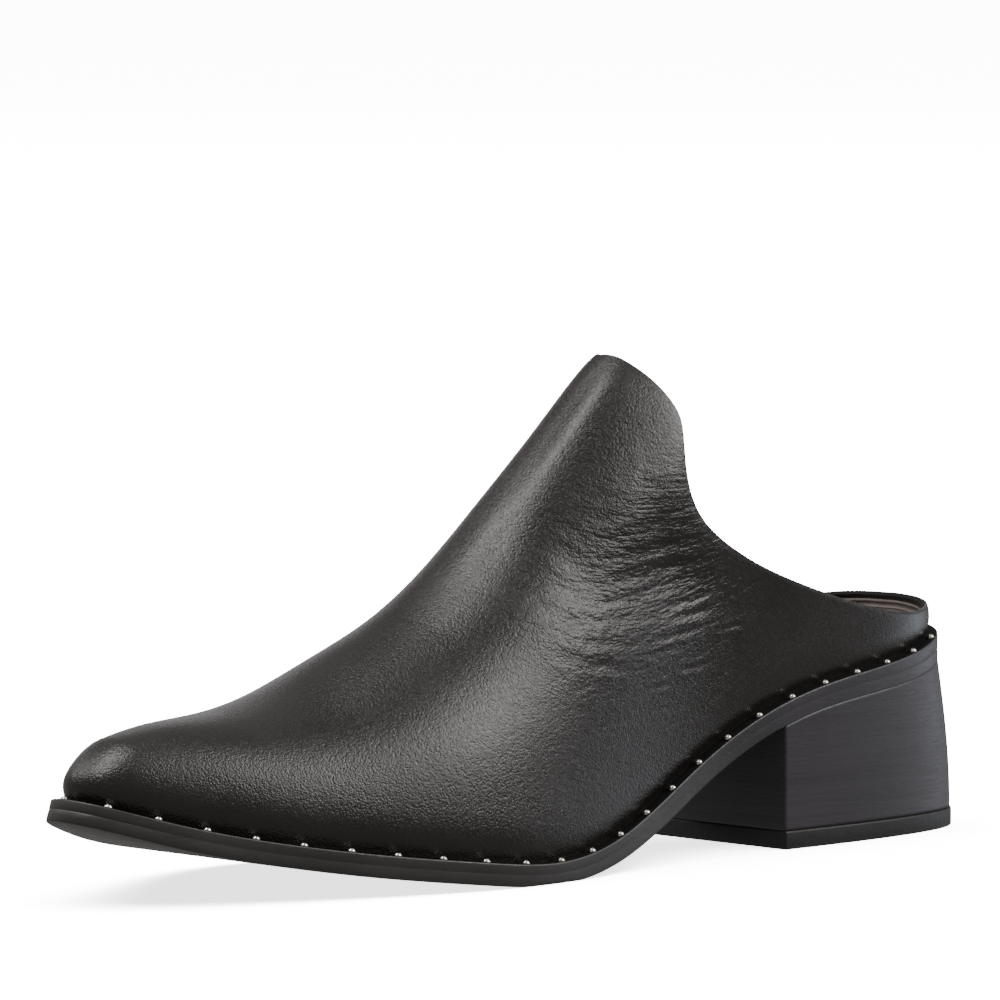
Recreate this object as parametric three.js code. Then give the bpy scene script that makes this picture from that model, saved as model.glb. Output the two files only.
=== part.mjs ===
// Pointed toe mule for the left foot: a one-piece leather vamp with a high tab and a low open back,
// a two-layer sole with a studded ledge, an insole and a stacked block heel with a top lift.
// Sizes in mm. +X points to the toe, +Y to the outer side of the foot, +Z up, floor at z = 0.
import * as THREE from 'three';

// Main sizes of the shoe
const soleLength = 272; // back of the heel to the tip of the toe
const ballHalf = 42; // half of the width over the ball
const tipInward = 4.5; // the tip of the toe lies this far to the inner side
const heelRise = 45.4; // underside of the sole above the floor at the back
const toeSpring = 19.6; // underside of the sole above the floor at the toe
const instepHeight = 100; // ridge of the last above the sole at the tab

// Sole band
const midsoleThick = 2.5;
const seatExtra = 1.0; // the midsole is thicker by this much at the back of the heel
const outsoleThick = 2.6;
const ledgeWidth = 3.2; // ledge of the midsole left free round the upper
const gap = 0.3; // space between pieces that touch

// Upper and insole
const upperWall = 2.0;
const toeCapLength = 12; // the upper comes down to the sole over this length at the toe
const featherBulge = 1.1; // how far the upper swells over its lower edge
const featherRise = 6.5; // height of that swell above the sole
const insoleThick = 1.6;
const insoleFit = 0.5; // space between the insole and the upper

// Heel
const breastShare = 0.266; // flat front of the heel along the sole
const heelFlare = 5.2; // the back of the heel runs out this far at the floor
const liftThick = 4.5;
const liftProud = 0.4; // the lift stands out this far round the heel

// Studs
const studCount = 52;
const studRadius = 1.3;
const studHeight = 1.4;
const studInset = 1.5; // middle of a stud in from the edge of the sole
const studPhase = 0.19; // first stud after the middle of the back, as a share of the pitch

// Outline of the sole: turn in degrees from the middle of the back round to the tip,
// half widths as shares of ballHalf on the outer and the inner side
const outline = [
  { turn: 15, outer: 0.43, inner: 0.42 },
  { turn: 30, outer: 0.645, inner: 0.63 },
  { turn: 45, outer: 0.73, inner: 0.70 },
  { turn: 60, outer: 0.745, inner: 0.66 },
  { turn: 75, outer: 0.755, inner: 0.60 },
  { turn: 90, outer: 0.90, inner: 0.70 },
  { turn: 105, outer: 0.98, inner: 0.92 },
  { turn: 120, outer: 0.82, inner: 0.97 },
  { turn: 135, outer: 0.58, inner: 0.77 },
  { turn: 150, outer: 0.345, inner: 0.525 },
  { turn: 165, outer: 0.14, inner: 0.335 },
];

// Side view of the sole: place along the sole, lift as shares of heelRise and of toeSpring
const sideView = [
  { along: 0.000, heel: 1.000, toe: 0 },
  { along: 0.083, heel: 0.872, toe: 0 },
  { along: 0.166, heel: 0.797, toe: 0 },
  { along: 0.250, heel: 0.700, toe: 0 },
  { along: 0.333, heel: 0.513, toe: 0 },
  { along: 0.417, heel: 0.264, toe: 0 },
  { along: 0.500, heel: 0.062, toe: 0 },
  { along: 0.583, heel: 0, toe: -0.026 },
  { along: 0.667, heel: 0, toe: 0.066 },
  { along: 0.750, heel: 0, toe: 0.209 },
  { along: 0.830, heel: 0, toe: 0.383 },
  { along: 0.917, heel: 0, toe: 0.643 },
  { along: 1.000, heel: 0, toe: 1.000 },
];

// Sections of the last: place along the sole, ridge above the sole as a share of instepHeight,
// shift of the ridge to the inner side as a share of ballHalf, roundness of the crown and of the wall
const lastSections = [
  { along: 0.000, ridge: 0.610, shift: 0.000, crown: 2.00, wall: 2.2 },
  { along: 0.250, ridge: 0.910, shift: 0.000, crown: 2.00, wall: 2.2 },
  { along: 0.330, ridge: 0.985, shift: 0.000, crown: 2.00, wall: 2.1 },
  { along: 0.385, ridge: 0.990, shift: 0.012, crown: 2.00, wall: 2.0 },
  { along: 0.445, ridge: 0.918, shift: 0.024, crown: 2.00, wall: 2.0 },
  { along: 0.505, ridge: 0.820, shift: 0.048, crown: 1.95, wall: 2.0 },
  { along: 0.565, ridge: 0.692, shift: 0.071, crown: 1.90, wall: 2.0 },
  { along: 0.625, ridge: 0.566, shift: 0.083, crown: 1.90, wall: 2.1 },
  { along: 0.690, ridge: 0.459, shift: 0.095, crown: 1.90, wall: 2.2 },
  { along: 0.760, ridge: 0.355, shift: 0.107, crown: 2.00, wall: 2.3 },
  { along: 0.830, ridge: 0.285, shift: 0.119, crown: 2.20, wall: 2.4 },
  { along: 0.900, ridge: 0.231, shift: 0.119, crown: 2.30, wall: 2.4 },
  { along: 1.000, ridge: 0.095, shift: 0.119, crown: 2.30, wall: 2.4 },
];

// Top line: turn from the middle of the back round to the top of the tab, place along the sole,
// place round the section in degrees from the lower edge to the ridge on the outer and inner side
const topLine = [
  { turn: 0, along: 0.012, outer: 5.2, inner: 5.2 },
  { turn: 15, along: 0.025, outer: 5.2, inner: 5.4 },
  { turn: 30, along: 0.058, outer: 5.4, inner: 5.9 },
  { turn: 45, along: 0.103, outer: 7.0, inner: 8.0 },
  { turn: 60, along: 0.162, outer: 9.9, inner: 11.3 },
  { turn: 75, along: 0.221, outer: 13.8, inner: 15.6 },
  { turn: 90, along: 0.276, outer: 19.2, inner: 21.2 },
  { turn: 105, along: 0.321, outer: 26.3, inner: 28.4 },
  { turn: 118, along: 0.348, outer: 33.5, inner: 35.8 },
  { turn: 130, along: 0.356, outer: 41.3, inner: 43.0 },
  { turn: 142, along: 0.351, outer: 49.5, inner: 50.5 },
  { turn: 153, along: 0.354, outer: 55.7, inner: 58.0 },
  { turn: 163, along: 0.367, outer: 64.7, inner: 66.4 },
  { turn: 172, along: 0.380, outer: 75.9, inner: 76.4 },
  { turn: 180, along: 0.388, outer: 90.0, inner: 90.0 },
];

// How finely the pieces are divided
const upperRibs = 72; // ribs round the upper
const upperRows = 18; // steps from the lower edge to the top line
const soleSteps = 96; // steps round the sole layers
const heelSteps = 26; // steps round the curved side of the heel
const heelLevels = 6;
const studSides = 8;

const leather = { color: '#2a2423', roughness: 0.5, metalness: 0 };
const insoleLeather = { color: '#3a2a22', roughness: 0.7, metalness: 0 };
const soleLeather = { color: '#1f1b1b', roughness: 0.5, metalness: 0 };
const heelStack = { color: '#2b282a', roughness: 0.55, metalness: 0 };
const liftRubber = { color: '#1c1a1a', roughness: 0.75, metalness: 0 };
const studMetal = { color: '#d8d2c4', roughness: 0.25, metalness: 1 };

const degrees = Math.PI / 180;
const smooth = (t) => {
  const c = Math.min(1, Math.max(0, t));
  return c * c * (3 - 2 * c);
};

// Cubic curve through the given points; a closed one joins its ends with the same slope and bend
function spline(xs, ys, closed = false) {
  const n = xs.length;
  const step = xs.slice(1).map((x, i) => x - xs[i]);
  const rise = ys.slice(1).map((y, i) => (y - ys[i]) / step[i]);
  const rows = xs.map(() => new Array(n + 1).fill(0));
  for (let i = 1; i < n - 1; i += 1) {
    rows[i][i - 1] = step[i - 1];
    rows[i][i] = 2 * (step[i - 1] + step[i]);
    rows[i][i + 1] = step[i];
    rows[i][n] = 6 * (rise[i] - rise[i - 1]);
  }
  rows[0][0] = 1;
  rows[n - 1][n - 1] = 1;
  if (closed) {
    rows[0][0] = 2 * (step[0] + step[n - 2]);
    rows[0][1] = step[0];
    rows[0][n - 2] = step[n - 2];
    rows[0][n] = 6 * (rise[0] - rise[n - 2]);
    rows[n - 1][0] = -1;
  }
  for (let i = 0; i < n; i += 1) {
    for (let j = i + 1; j < n; j += 1) {
      const share = rows[j][i] / rows[i][i];
      for (let k = i; share !== 0 && k <= n; k += 1) rows[j][k] -= share * rows[i][k];
    }
  }
  const bend = new Array(n).fill(0);
  for (let i = n - 1; i >= 0; i -= 1) {
    let sum = rows[i][n];
    for (let k = i + 1; k < n; k += 1) sum -= rows[i][k] * bend[k];
    bend[i] = sum / rows[i][i];
  }
  return (x) => {
    let i = 0;
    while (i < n - 2 && x > xs[i + 1]) i += 1;
    const after = x - xs[i];
    const before = xs[i + 1] - x;
    const h = step[i];
    const cubic = (bend[i] * before ** 3 + bend[i + 1] * after ** 3) / (6 * h);
    const left = (ys[i] / h - (bend[i] * h) / 6) * before;
    const right = (ys[i + 1] / h - (bend[i + 1] * h) / 6) * after;
    return cubic + left + right;
  };
}

// Height of the top of the sole at a place along the shoe, and its slope
const flatTop = midsoleThick + gap + outsoleThick;
const topOfSole = spline(
  sideView.map((row) => row.along * soleLength),
  sideView.map((row) => flatTop + row.heel * heelRise + row.toe * toeSpring),
);
const slopeOfSole = (x) => topOfSole(x + 0.5) - topOfSole(x - 0.5);

// Half width of the sole at a turn, and a point of the outline moved inwards by inset
const innerRows = [...outline].reverse();
const acrossAt = spline(
  [0, ...outline.map((row) => row.turn), 180, ...innerRows.map((row) => 360 - row.turn), 360],
  [
    0,
    ...outline.map((row) => row.outer * ballHalf),
    -tipInward,
    ...innerRows.map((row) => -row.inner * ballHalf),
    0,
  ],
  true,
);
const wrap = (turn) => ((turn % 360) + 360) % 360;
function outlinePoint(turn, inset) {
  const small = 0.01;
  const x = (soleLength * (1 - Math.cos(turn * degrees))) / 2;
  const y = acrossAt(wrap(turn));
  const dx = soleLength * Math.sin(turn * degrees) * small * degrees;
  const dy = acrossAt(wrap(turn + small)) - acrossAt(wrap(turn - small));
  const length = Math.hypot(dx, dy);
  const nx = -dy / length;
  const ny = dx / length;
  return { x: x - nx * inset, y: y - ny * inset, nx, ny };
}

// Points under the top of the sole, measured square to it; under the heel they go straight down
function underSole(x, depth) {
  const slope = slopeOfSole(x);
  const length = Math.hypot(1, slope);
  const lean = smooth((x / soleLength - 0.3) / 0.15);
  return {
    x: x + (lean * depth * slope) / length,
    z: topOfSole(x) - depth * (lean / length + (1 - lean) * length),
  };
}
const midsoleDepth = (x) => midsoleThick + seatExtra * (1 - smooth(x / (0.25 * soleLength)));

// A closed mesh from numbered points and triangles
function solid(name, look, points, faces) {
  const geometry = new THREE.BufferGeometry();
  geometry.setAttribute('position', new THREE.Float32BufferAttribute(points.flat(), 3));
  geometry.setIndex(faces.flat());
  geometry.computeVertexNormals();
  const mesh = new THREE.Mesh(geometry, new THREE.MeshStandardMaterial(look));
  mesh.name = name;
  return mesh;
}

// Layers of loops stacked from the bottom to the top, closed by strips that run from side to side.
// Point k of a loop faces point n - k on the other side, and point 0 is the middle of the back.
function stack(name, look, loops) {
  const n = loops[0].length;
  const points = loops.flat();
  const faces = [];
  for (let level = 0; level < loops.length - 1; level += 1) {
    for (let k = 0; k < n; k += 1) {
      const a = level * n + k;
      const b = level * n + ((k + 1) % n);
      faces.push([a, a + n, b], [b, a + n, b + n]);
    }
  }
  const top = (loops.length - 1) * n;
  for (let k = 0; k < Math.floor(n / 2); k += 1) {
    const left = k;
    const leftNext = k + 1;
    const right = (n - k) % n;
    const rightNext = n - k - 1;
    const strip = [];
    if (right !== left) strip.push([left, leftNext, right]);
    if (rightNext !== leftNext) strip.push([right, leftNext, rightNext]);
    for (const [a, b, c] of strip) {
      faces.push([a, b, c]);
      faces.push([top + a, top + c, top + b]);
    }
  }
  return solid(name, look, points, faces);
}

const shoe = new THREE.Group();
shoe.name = 'pointed_toe_mule';

// Sole layers: the outline at each depth, kept off the floor side of z = 0
function soleLoop(inset, depthAt) {
  const loop = [];
  for (let k = 0; k < soleSteps; k += 1) {
    const point = outlinePoint((360 * k) / soleSteps, inset);
    const under = underSole(point.x, depthAt(point.x));
    loop.push([under.x, point.y, Math.max(0, under.z)]);
  }
  return loop;
}
const midsoleTop = soleLoop(0, () => 0);
const midsoleBottom = soleLoop(0, midsoleDepth);
const outsoleTop = soleLoop(0, (x) => midsoleDepth(x) + gap);
const outsoleBottom = soleLoop(0, (x) => midsoleDepth(x) + gap + outsoleThick);
shoe.add(stack('midsole', soleLeather, [midsoleBottom, midsoleTop]));
shoe.add(stack('outsole', soleLeather, [outsoleBottom, outsoleTop]));

const insoleInset = ledgeWidth + upperWall + insoleFit;
const insoleBottom = soleLoop(insoleInset, () => -gap);
const insoleTop = soleLoop(insoleInset, () => -gap - insoleThick);
shoe.add(stack('insole', insoleLeather, [insoleBottom, insoleTop]));

// Heel: sections with a flat front and a round back, running out backwards towards the floor.
// The lift below it has the shape of its lowest section and stands out a little all round.
const breastTurn = Math.acos(1 - 2 * breastShare) / degrees;
const breastX = breastShare * soleLength;
function heelLoop(levelHeight, flareShare, proud) {
  const loop = [];
  for (let k = 0; k <= 2 * heelSteps; k += 1) {
    const turn = k <= heelSteps ? (breastTurn * k) / heelSteps
      : 360 - (breastTurn * (2 * heelSteps + 1 - k)) / heelSteps;
    const point = outlinePoint(turn, -proud);
    const behind = 1 - point.x / breastX;
    const x = Math.min(point.x, breastX + proud) - heelFlare * flareShare * Math.max(0, behind);
    loop.push([x, point.y, levelHeight(point.x)]);
  }
  return loop;
}
const outsoleUnderside = (x) => underSole(x, midsoleDepth(x) + gap + outsoleThick).z;
const heelFoot = liftThick + gap;
const heelLoops = [];
for (let level = 0; level <= heelLevels; level += 1) {
  const down = 1 - level / heelLevels;
  const height = (x) => heelFoot + (1 - down) * (outsoleUnderside(x) - gap - heelFoot);
  heelLoops.push(heelLoop(height, Math.sin((down * Math.PI) / 2), 0));
}
shoe.add(stack('heel', heelStack, heelLoops));
shoe.add(stack('heel_lift', liftRubber, [
  heelLoop(() => 0, 1, liftProud),
  heelLoop(() => liftThick, 1, liftProud),
]));

// Lower edge of the upper: the outline moved in by the ledge, and its width on either side
const featherTable = { 1: [], '-1': [] };
let heelTurn = 0;
let toeTurn = 180;
let featherBack = Infinity;
let featherTip = -Infinity;
for (let turn = -30; turn <= 210; turn += 0.25) {
  const point = outlinePoint(turn, ledgeWidth);
  if (point.x < featherBack) {
    featherBack = point.x;
    heelTurn = turn;
  }
  if (point.x > featherTip) {
    featherTip = point.x;
    toeTurn = turn;
  }
}
const rollOf = (x) => {
  const share = (x - featherBack) / (featherTip - featherBack);
  return Math.acos(1 - 2 * Math.min(1, Math.max(0, share)));
};
const featherPoint = (turn) => {
  const outerShare = turn / 180;
  const innerShare = (turn - 180) / 180;
  const place = turn <= 180 ? heelTurn + (toeTurn - heelTurn) * outerShare
    : toeTurn + (360 + heelTurn - toeTurn) * innerShare;
  return outlinePoint(place, ledgeWidth);
};
for (let turn = 0; turn <= 180; turn += 0.25) {
  const outer = featherPoint(turn);
  const inner = featherPoint(360 - turn);
  featherTable[1].push([rollOf(outer.x), outer.y]);
  featherTable[-1].push([rollOf(inner.x), inner.y]);
}
function featherAcross(x, side) {
  const rows = featherTable[side];
  const roll = rollOf(x);
  let low = 0;
  let high = rows.length - 1;
  while (high - low > 1) {
    const middle = (low + high) >> 1;
    if (rows[middle][0] > roll) high = middle;
    else low = middle;
  }
  const width = rows[high][0] - rows[low][0];
  const share = width > 0 ? Math.min(1, Math.max(0, (roll - rows[low][0]) / width)) : 0;
  return rows[low][1] + share * (rows[high][1] - rows[low][1]);
}
const tipAcross = featherPoint(180).y;

// Surface of the last: superellipse sections over the lower edge, brought down at the toe
const sectionAlong = lastSections.map((row) => row.along * soleLength);
const ridgeAt = spline(sectionAlong, lastSections.map((row) => row.ridge * instepHeight));
const shiftAt = spline(sectionAlong, lastSections.map((row) => -row.shift * ballHalf));
const crownAt = spline(sectionAlong, lastSections.map((row) => row.crown));
const wallAt = spline(sectionAlong, lastSections.map((row) => row.wall));
function lastPoint(x, round, side) {
  const cap = Math.min(1, Math.max(0, (featherTip - x) / toeCapLength));
  const height = ridgeAt(x) * Math.sqrt(Math.max(0, 1 - (1 - cap) ** 2));
  const blend = smooth((featherTip - x) / (0.165 * soleLength));
  const middle = shiftAt(x) * blend + tipAcross * (1 - blend);
  const out = Math.abs(Math.cos(round * degrees)) ** (2 / crownAt(x));
  const up = Math.sin(round * degrees) ** (2 / wallAt(x));
  return [
    x,
    middle + (featherAcross(x, side) - middle) * out,
    topOfSole(x) + gap + height * up,
  ];
}

// Ribs of the upper run from the lower edge to the top line. In front they are straight lines in
// the half plane of root distance from the toe and angle round the section; at the back both
// numbers are blended evenly, so that the back closes.
const lineTurns = topLine.map((row) => row.turn);
const lineAlong = spline(lineTurns, topLine.map((row) => row.along * soleLength));
const lineRound = {
  1: spline(lineTurns, topLine.map((row) => row.outer)),
  '-1': spline(lineTurns, topLine.map((row) => row.inner)),
};
const outerSkin = [];
for (let rib = 0; rib < upperRibs; rib += 1) {
  const turn = (360 * rib) / upperRibs;
  const side = turn <= 180 ? 1 : -1;
  const half = turn <= 180 ? turn : 360 - turn;
  const foot = featherPoint(turn);
  const footReach = Math.sqrt(Math.max(0, featherTip - foot.x));
  const lineReach = Math.sqrt(featherTip - lineAlong(half));
  const lineAngle = half > 179.9 ? 90 : lineRound[side](half);
  const even = 1 - smooth((half - 35) / 60);
  const crowding = 1.35 - 0.35 * smooth((half - 100) / 80); // rows lie closer at the lower edge
  const column = [];
  for (let row = 0; row <= upperRows; row += 1) {
    const share = (row / upperRows) ** crowding;
    const forward = footReach + (lineReach * Math.cos(lineAngle * degrees) - footReach) * share;
    const upward = lineReach * Math.sin(lineAngle * degrees) * share;
    const reach = even * (footReach + (lineReach - footReach) * share)
      + (1 - even) * Math.hypot(forward, upward);
    const angle = even * lineAngle * share
      + ((1 - even) * Math.atan2(upward, forward)) / degrees;
    const ridgeRib = half > 179.9 && row > 0;
    const point = lastPoint(featherTip - reach ** 2, ridgeRib ? 90 : angle, side);
    column.push(point);
  }
  const lineHeight = column[upperRows][2] - column[0][2];
  const swellRise = Math.min(featherRise, 0.6 * lineHeight);
  for (const point of column) {
    const high = Math.max(0, point[2] - topOfSole(point[0]) - gap) / swellRise;
    const swell = featherBulge * (high * Math.exp(1 - high)) ** 2;
    point[0] += foot.nx * swell;
    point[1] += foot.ny * swell;
  }
  outerSkin.push(column);
}

// Inner skin: each point moved in by the wall square to the surface, the lower edge kept level
const innerSkin = outerSkin.map((column, rib) => column.map((point, row) => {
  const before = outerSkin[(rib + upperRibs - 1) % upperRibs];
  const after = outerSkin[(rib + 1) % upperRibs];
  if (row === 0) {
    const foot = featherPoint((360 * rib) / upperRibs);
    const x = point[0] - foot.nx * upperWall;
    return [x, point[1] - foot.ny * upperWall, topOfSole(x) + gap];
  }
  const round = new THREE.Vector3(...after[row]).sub(new THREE.Vector3(...before[row]));
  const low = new THREE.Vector3(...column[row - 1]);
  const high = new THREE.Vector3(...column[Math.min(upperRows, row + 1)]);
  const out = high.sub(low).cross(round).normalize();
  return [
    point[0] - out.x * upperWall,
    point[1] - out.y * upperWall,
    point[2] - out.z * upperWall,
  ];
}));
const upperPoints = [];
const upperFaces = [];
const across = upperRows + 1;
for (const skin of [outerSkin, innerSkin]) {
  for (const column of skin) upperPoints.push(...column);
}
for (let rib = 0; rib < upperRibs; rib += 1) {
  const next = (rib + 1) % upperRibs;
  for (let row = 0; row < 2 * across; row += 1) {
    // one loop across the shell: up the outer skin, over the rim, down the inner skin, back
    const place = (column, step) => {
      const s = step % (2 * across);
      return s < across ? column * across + s
        : upperRibs * across + column * across + (2 * across - 1 - s);
    };
    const a = place(rib, row);
    const b = place(rib, row + 1);
    const c = place(next, row);
    const d = place(next, row + 1);
    upperFaces.push([a, b, c], [b, d, c]);
  }
}
shoe.add(solid('upper', leather, upperPoints, upperFaces));

// Studs: low domes at an even pitch along a line on the ledge, square to the sole
const studLine = [];
let run = 0;
for (let k = 0; k <= 1440; k += 1) {
  const point = outlinePoint(k / 4, studInset);
  const z = topOfSole(point.x);
  const last = studLine[k - 1];
  if (last) run += Math.hypot(point.x - last.x, point.y - last.y, z - last.z);
  studLine.push({ x: point.x, y: point.y, z, run });
}
const pitch = run / studCount;
const domeProfile = [
  new THREE.Vector2(0, 0),
  new THREE.Vector2(studRadius, 0),
  new THREE.Vector2(studRadius * 0.94, studHeight * 0.4),
  new THREE.Vector2(studRadius * 0.62, studHeight * 0.83),
  new THREE.Vector2(0, studHeight),
];
for (let k = 0; k < studCount; k += 1) {
  const target = pitch * (k + studPhase);
  const after = studLine.findIndex((point) => point.run > target);
  const a = studLine[after - 1];
  const b = studLine[after];
  const share = (target - a.run) / (b.run - a.run);
  const x = a.x + share * (b.x - a.x);
  const y = a.y + share * (b.y - a.y);
  const seat = underSole(x, -gap);
  const dome = new THREE.LatheGeometry(domeProfile, studSides);
  dome.rotateX(Math.PI / 2);
  dome.rotateY(-Math.atan(slopeOfSole(x)));
  dome.translate(x, y, seat.z);
  const stud = new THREE.Mesh(dome, new THREE.MeshStandardMaterial(studMetal));
  stud.name = `stud_${String(k + 1).padStart(2, '0')}`;
  shoe.add(stud);
}

// The middle of the shoe's box on the floor becomes the origin
const box = new THREE.Box3().setFromObject(shoe);
for (const mesh of shoe.children) {
  mesh.geometry.translate(-(box.min.x + box.max.x) / 2, -(box.min.y + box.max.y) / 2, -box.min.z);
}

export default shoe;
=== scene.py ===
import math
import bpy
import numpy as np
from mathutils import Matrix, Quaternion, Vector


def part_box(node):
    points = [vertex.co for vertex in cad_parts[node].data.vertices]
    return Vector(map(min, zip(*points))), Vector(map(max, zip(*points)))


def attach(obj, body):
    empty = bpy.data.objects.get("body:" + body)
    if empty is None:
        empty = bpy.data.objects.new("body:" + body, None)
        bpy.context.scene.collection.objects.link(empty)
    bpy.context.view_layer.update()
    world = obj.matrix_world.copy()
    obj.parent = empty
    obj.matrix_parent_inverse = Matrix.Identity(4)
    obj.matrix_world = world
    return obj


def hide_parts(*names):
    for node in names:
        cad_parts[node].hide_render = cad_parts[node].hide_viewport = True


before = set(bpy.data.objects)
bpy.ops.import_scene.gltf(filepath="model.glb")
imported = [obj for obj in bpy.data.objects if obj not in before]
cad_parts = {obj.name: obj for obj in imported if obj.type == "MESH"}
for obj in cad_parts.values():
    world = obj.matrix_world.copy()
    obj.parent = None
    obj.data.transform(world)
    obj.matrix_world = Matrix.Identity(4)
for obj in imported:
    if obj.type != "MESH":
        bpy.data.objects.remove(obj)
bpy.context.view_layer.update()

# The shoe's own sizes, in mm

shoe = {
    "soleLength": 272.0,
    "ballHalf": 42.0,
    "tipInward": 4.5,
    "heelRise": 45.4,
    "toeSpring": 19.6,
    "instepHeight": 100.0,
    "midsoleThick": 2.5,
    "seatExtra": 1.0,  # more midsole under the seat
    "outsoleThick": 2.6,
    "ledgeWidth": 3.2,
    "gap": 0.3,  # between midsole and outsole
    "wall": 2.0,
    "toeCapLength": 12.0,
    "featherBulge": 1.1,  # swell of the upper just over its lower edge
    "featherRise": 6.5,
}
# turn from the middle of the back, half width on the outer side, half width on the inner side
outlineRows = np.array([
    (15, 0.43, 0.42), (30, 0.645, 0.63), (45, 0.73, 0.70), (60, 0.745, 0.66),
    (75, 0.755, 0.60), (90, 0.90, 0.70), (105, 0.98, 0.92), (120, 0.82, 0.97),
    (135, 0.58, 0.77), (150, 0.345, 0.525), (165, 0.14, 0.335),
])
# place along the sole, lift as a share of the heel rise, lift as a share of the toe spring
sideRows = np.array([
    (0.000, 1.000, 0), (0.083, 0.872, 0), (0.166, 0.797, 0), (0.250, 0.700, 0),
    (0.333, 0.513, 0), (0.417, 0.264, 0), (0.500, 0.062, 0), (0.583, 0, -0.026),
    (0.667, 0, 0.066), (0.750, 0, 0.209), (0.830, 0, 0.383), (0.917, 0, 0.643), (1.000, 0, 1.000),
])
# place along the sole, ridge height, shift to the inner side, roundness of crown and wall
lastRows = np.array([
    (0.000, 0.610, 0.000, 2.00, 2.2), (0.250, 0.910, 0.000, 2.00, 2.2),
    (0.330, 0.985, 0.000, 2.00, 2.1), (0.385, 0.990, 0.012, 2.00, 2.0),
    (0.445, 0.918, 0.024, 2.00, 2.0), (0.505, 0.820, 0.048, 1.95, 2.0),
    (0.565, 0.692, 0.071, 1.90, 2.0), (0.625, 0.566, 0.083, 1.90, 2.1),
    (0.690, 0.459, 0.095, 1.90, 2.2), (0.760, 0.355, 0.107, 2.00, 2.3),
    (0.830, 0.285, 0.119, 2.20, 2.4), (0.900, 0.231, 0.119, 2.30, 2.4),
    (1.000, 0.095, 0.119, 2.30, 2.4),
])
# turn, place along the sole, place round the section on the outer and on the inner side
topLineRows = np.array([
    (0, 0.012, 5.2, 5.2), (15, 0.025, 5.2, 5.4), (30, 0.058, 5.4, 5.9), (45, 0.103, 7.0, 8.0),
    (60, 0.162, 9.9, 11.3), (75, 0.221, 13.8, 15.6), (90, 0.276, 19.2, 21.2),
    (105, 0.321, 26.3, 28.4), (118, 0.348, 33.5, 35.8), (130, 0.356, 41.3, 43.0),
    (142, 0.351, 49.5, 50.5), (153, 0.354, 55.7, 58.0), (163, 0.367, 64.7, 66.4),
    (172, 0.380, 75.9, 76.4), (180, 0.388, 90.0, 90.0),
])


# smooth step: c c (3 - 2 c), where c is t held between 0 and 1
def smooth(t):
    c = np.clip(t, 0, 1)
    return c * c * (3 - 2 * c)


# the same step, begun at one value and run over a length
def fade(value, start, over):
    return smooth((value - start) / over)


# Cubic curve through points: pieces whose second slopes solve a banded system; a closed
# one has the same slope and bend at both ends
def cubicCurve(xs, ys, closed=False):
    xs, ys = np.asarray(xs, float), np.asarray(ys, float)
    n, step = len(xs), np.diff(xs)
    rise = np.diff(ys) / step
    system, right = np.zeros((n, n)), np.zeros(n)
    inner = np.arange(1, n - 1)
    system[inner, inner - 1] = step[:-1]
    system[inner, inner] = 2 * (step[:-1] + step[1:])
    system[inner, inner + 1] = step[1:]
    right[inner] = 6 * (rise[1:] - rise[:-1])
    system[0, 0] = system[-1, -1] = 1
    if closed:
        system[0, 0], system[0, 1], system[0, -2] = 2 * (step[0] + step[-1]), step[0], step[-1]
        right[0] = 6 * (rise[0] - rise[-1])
        system[-1, 0] = -1
    bend = np.linalg.solve(system, right)

    def curve(x):
        x = np.asarray(x, float)
        i = np.clip(np.searchsorted(xs, x, side="right") - 1, 0, n - 2)
        after, before, h = x - xs[i], xs[i + 1] - x, step[i]
        cubic = (bend[i] * before**3 + bend[i + 1] * after**3) / (6 * h)
        fromBefore = (ys[i] / h - bend[i] * h / 6) * before
        fromAfter = (ys[i + 1] / h - bend[i + 1] * h / 6) * after
        return cubic + fromBefore + fromAfter

    return curve


length = shoe["soleLength"]
flatTop = shoe["midsoleThick"] + shoe["gap"] + shoe["outsoleThick"]
topOfSole = cubicCurve(
    sideRows[:, 0] * length,
    flatTop + sideRows[:, 1] * shoe["heelRise"] + sideRows[:, 2] * shoe["toeSpring"])
outerHalf, innerHalf = outlineRows[:, 1] * shoe["ballHalf"], outlineRows[:, 2] * shoe["ballHalf"]
acrossAt = cubicCurve(
    np.r_[0, outlineRows[:, 0], 180, 360 - outlineRows[::-1, 0], 360],
    np.r_[0, outerHalf, -shoe["tipInward"], -innerHalf[::-1], 0],
    closed=True)


# rise of the sole over the 1 mm around x
def slopeOfSole(x):
    return topOfSole(x + 0.5) - topOfSole(x - 0.5)


# Outline: x runs as one minus the cosine of the turn, y is the half width there, and the
# point is moved inwards along the outline's own normal
def outlinePoint(turn, inset):
    turn = np.asarray(turn, float)
    a, small = np.radians(turn), 0.01
    x, y = length * (1 - np.cos(a)) / 2, acrossAt(turn % 360)
    dx = length * np.sin(a) * np.radians(small)
    dy = acrossAt((turn + small) % 360) - acrossAt((turn - small) % 360)
    size = np.hypot(dx, dy)
    nx, ny = -dy / size, dx / size
    return x - nx * inset, y - ny * inset, nx, ny


# Sole band, as shares of the length: its layers go straight down over the heel and square
# to the slope in front of it, and the midsole thins towards the front of the seat
bandShape = {"leanFrom": 0.3, "leanOver": 0.15, "seatEnd": 0.25}


# place under the top of the sole, moved on by the slope as far as it leans
def underSole(x, depth):
    slope = slopeOfSole(x)
    size = np.hypot(1, slope)
    lean = fade(x / length, bandShape["leanFrom"], bandShape["leanOver"])
    down = depth * (lean / size + (1 - lean) * size)
    return x + lean * depth * slope / size, topOfSole(x) - down


# thickness of the midsole, with a little more under the seat
def midsoleDepth(x):
    thin = smooth(x / (bandShape["seatEnd"] * length))
    return shoe["midsoleThick"] + shoe["seatExtra"] * (1 - thin)


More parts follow.
